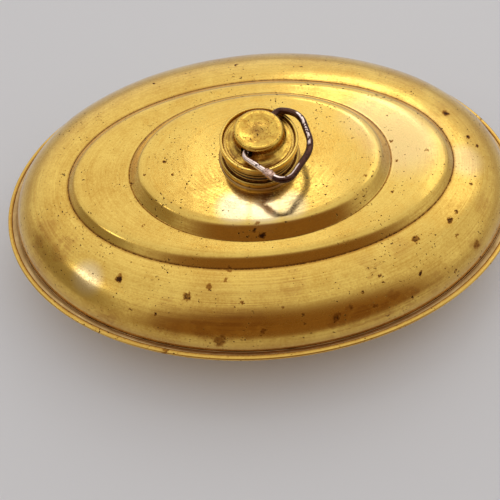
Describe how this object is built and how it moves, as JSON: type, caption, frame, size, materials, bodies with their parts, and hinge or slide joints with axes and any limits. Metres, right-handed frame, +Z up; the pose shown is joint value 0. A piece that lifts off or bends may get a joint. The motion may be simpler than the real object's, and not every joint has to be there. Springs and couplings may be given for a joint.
{
  "type": "hot water bottle",
  "caption": "Oval brass hot water bottle of pressed shells with a hemmed rim, stepped top, soldered filler neck and a screw stopper with a knob and a folding wire bail.",
  "frame": {"origin": "middle of the oval base, on the plane of the standing ring", "axes": "+X along the long way of the oval, +Z up along the stopper's axis"},
  "size_m": [0.29, 0.198, 0.092],
  "materials": {
    "shell_brass": "polished pressed sheet with brown tarnish specks and fine scratches",
    "turned_brass": "turned and polished, dark in the grooves",
    "knob_brass": "cast and polished, pitted and dull on the dimpled top",
    "wire_brass": "drawn wire, dark brown patina worn bright on one leg",
    "braze": "coppery lump of braze, rough",
    "solder": "old solder rubbed down with the brass, dull and slightly lumpy",
    "washer_leather": "dark oiled leather"
  },
  "bodies": {
    "bottle": {"lower_shell": "shell_brass", "upper_shell": "shell_brass", "rim_solder": "solder", "filler_neck": "turned_brass", "neck_solder": "solder"},
    "washer": {"sealing_washer": "washer_leather"},
    "stopper": {"stopper_body": "turned_brass", "stopper_knob": "knob_brass"},
    "bail": {"bail_ring": "wire_brass", "bail_braze": "braze"}
  },
  "joints": [
    {"name": "stopper_lift", "type": "slide", "parent": "bottle", "child": "washer", "axis": [0, 0, 1], "range_m": [0, 0.01]},
    {"name": "stopper_turn", "type": "hinge", "parent": "washer", "child": "stopper", "pos_m": [0, 0, 0.0764], "axis": [0, 0, 1], "range_deg": [0, 1440]},
    {"name": "bail_swing", "type": "hinge", "parent": "stopper", "child": "bail", "pos_m": [0, 0, 0.08645], "axis": [-0.6018, -0.7986, 0], "range_deg": [0, 180]}
  ],
  "couplings": [
    {"joint": "stopper_lift", "follows": "stopper_turn", "m_per_rad": 0.00039789}
  ]
}
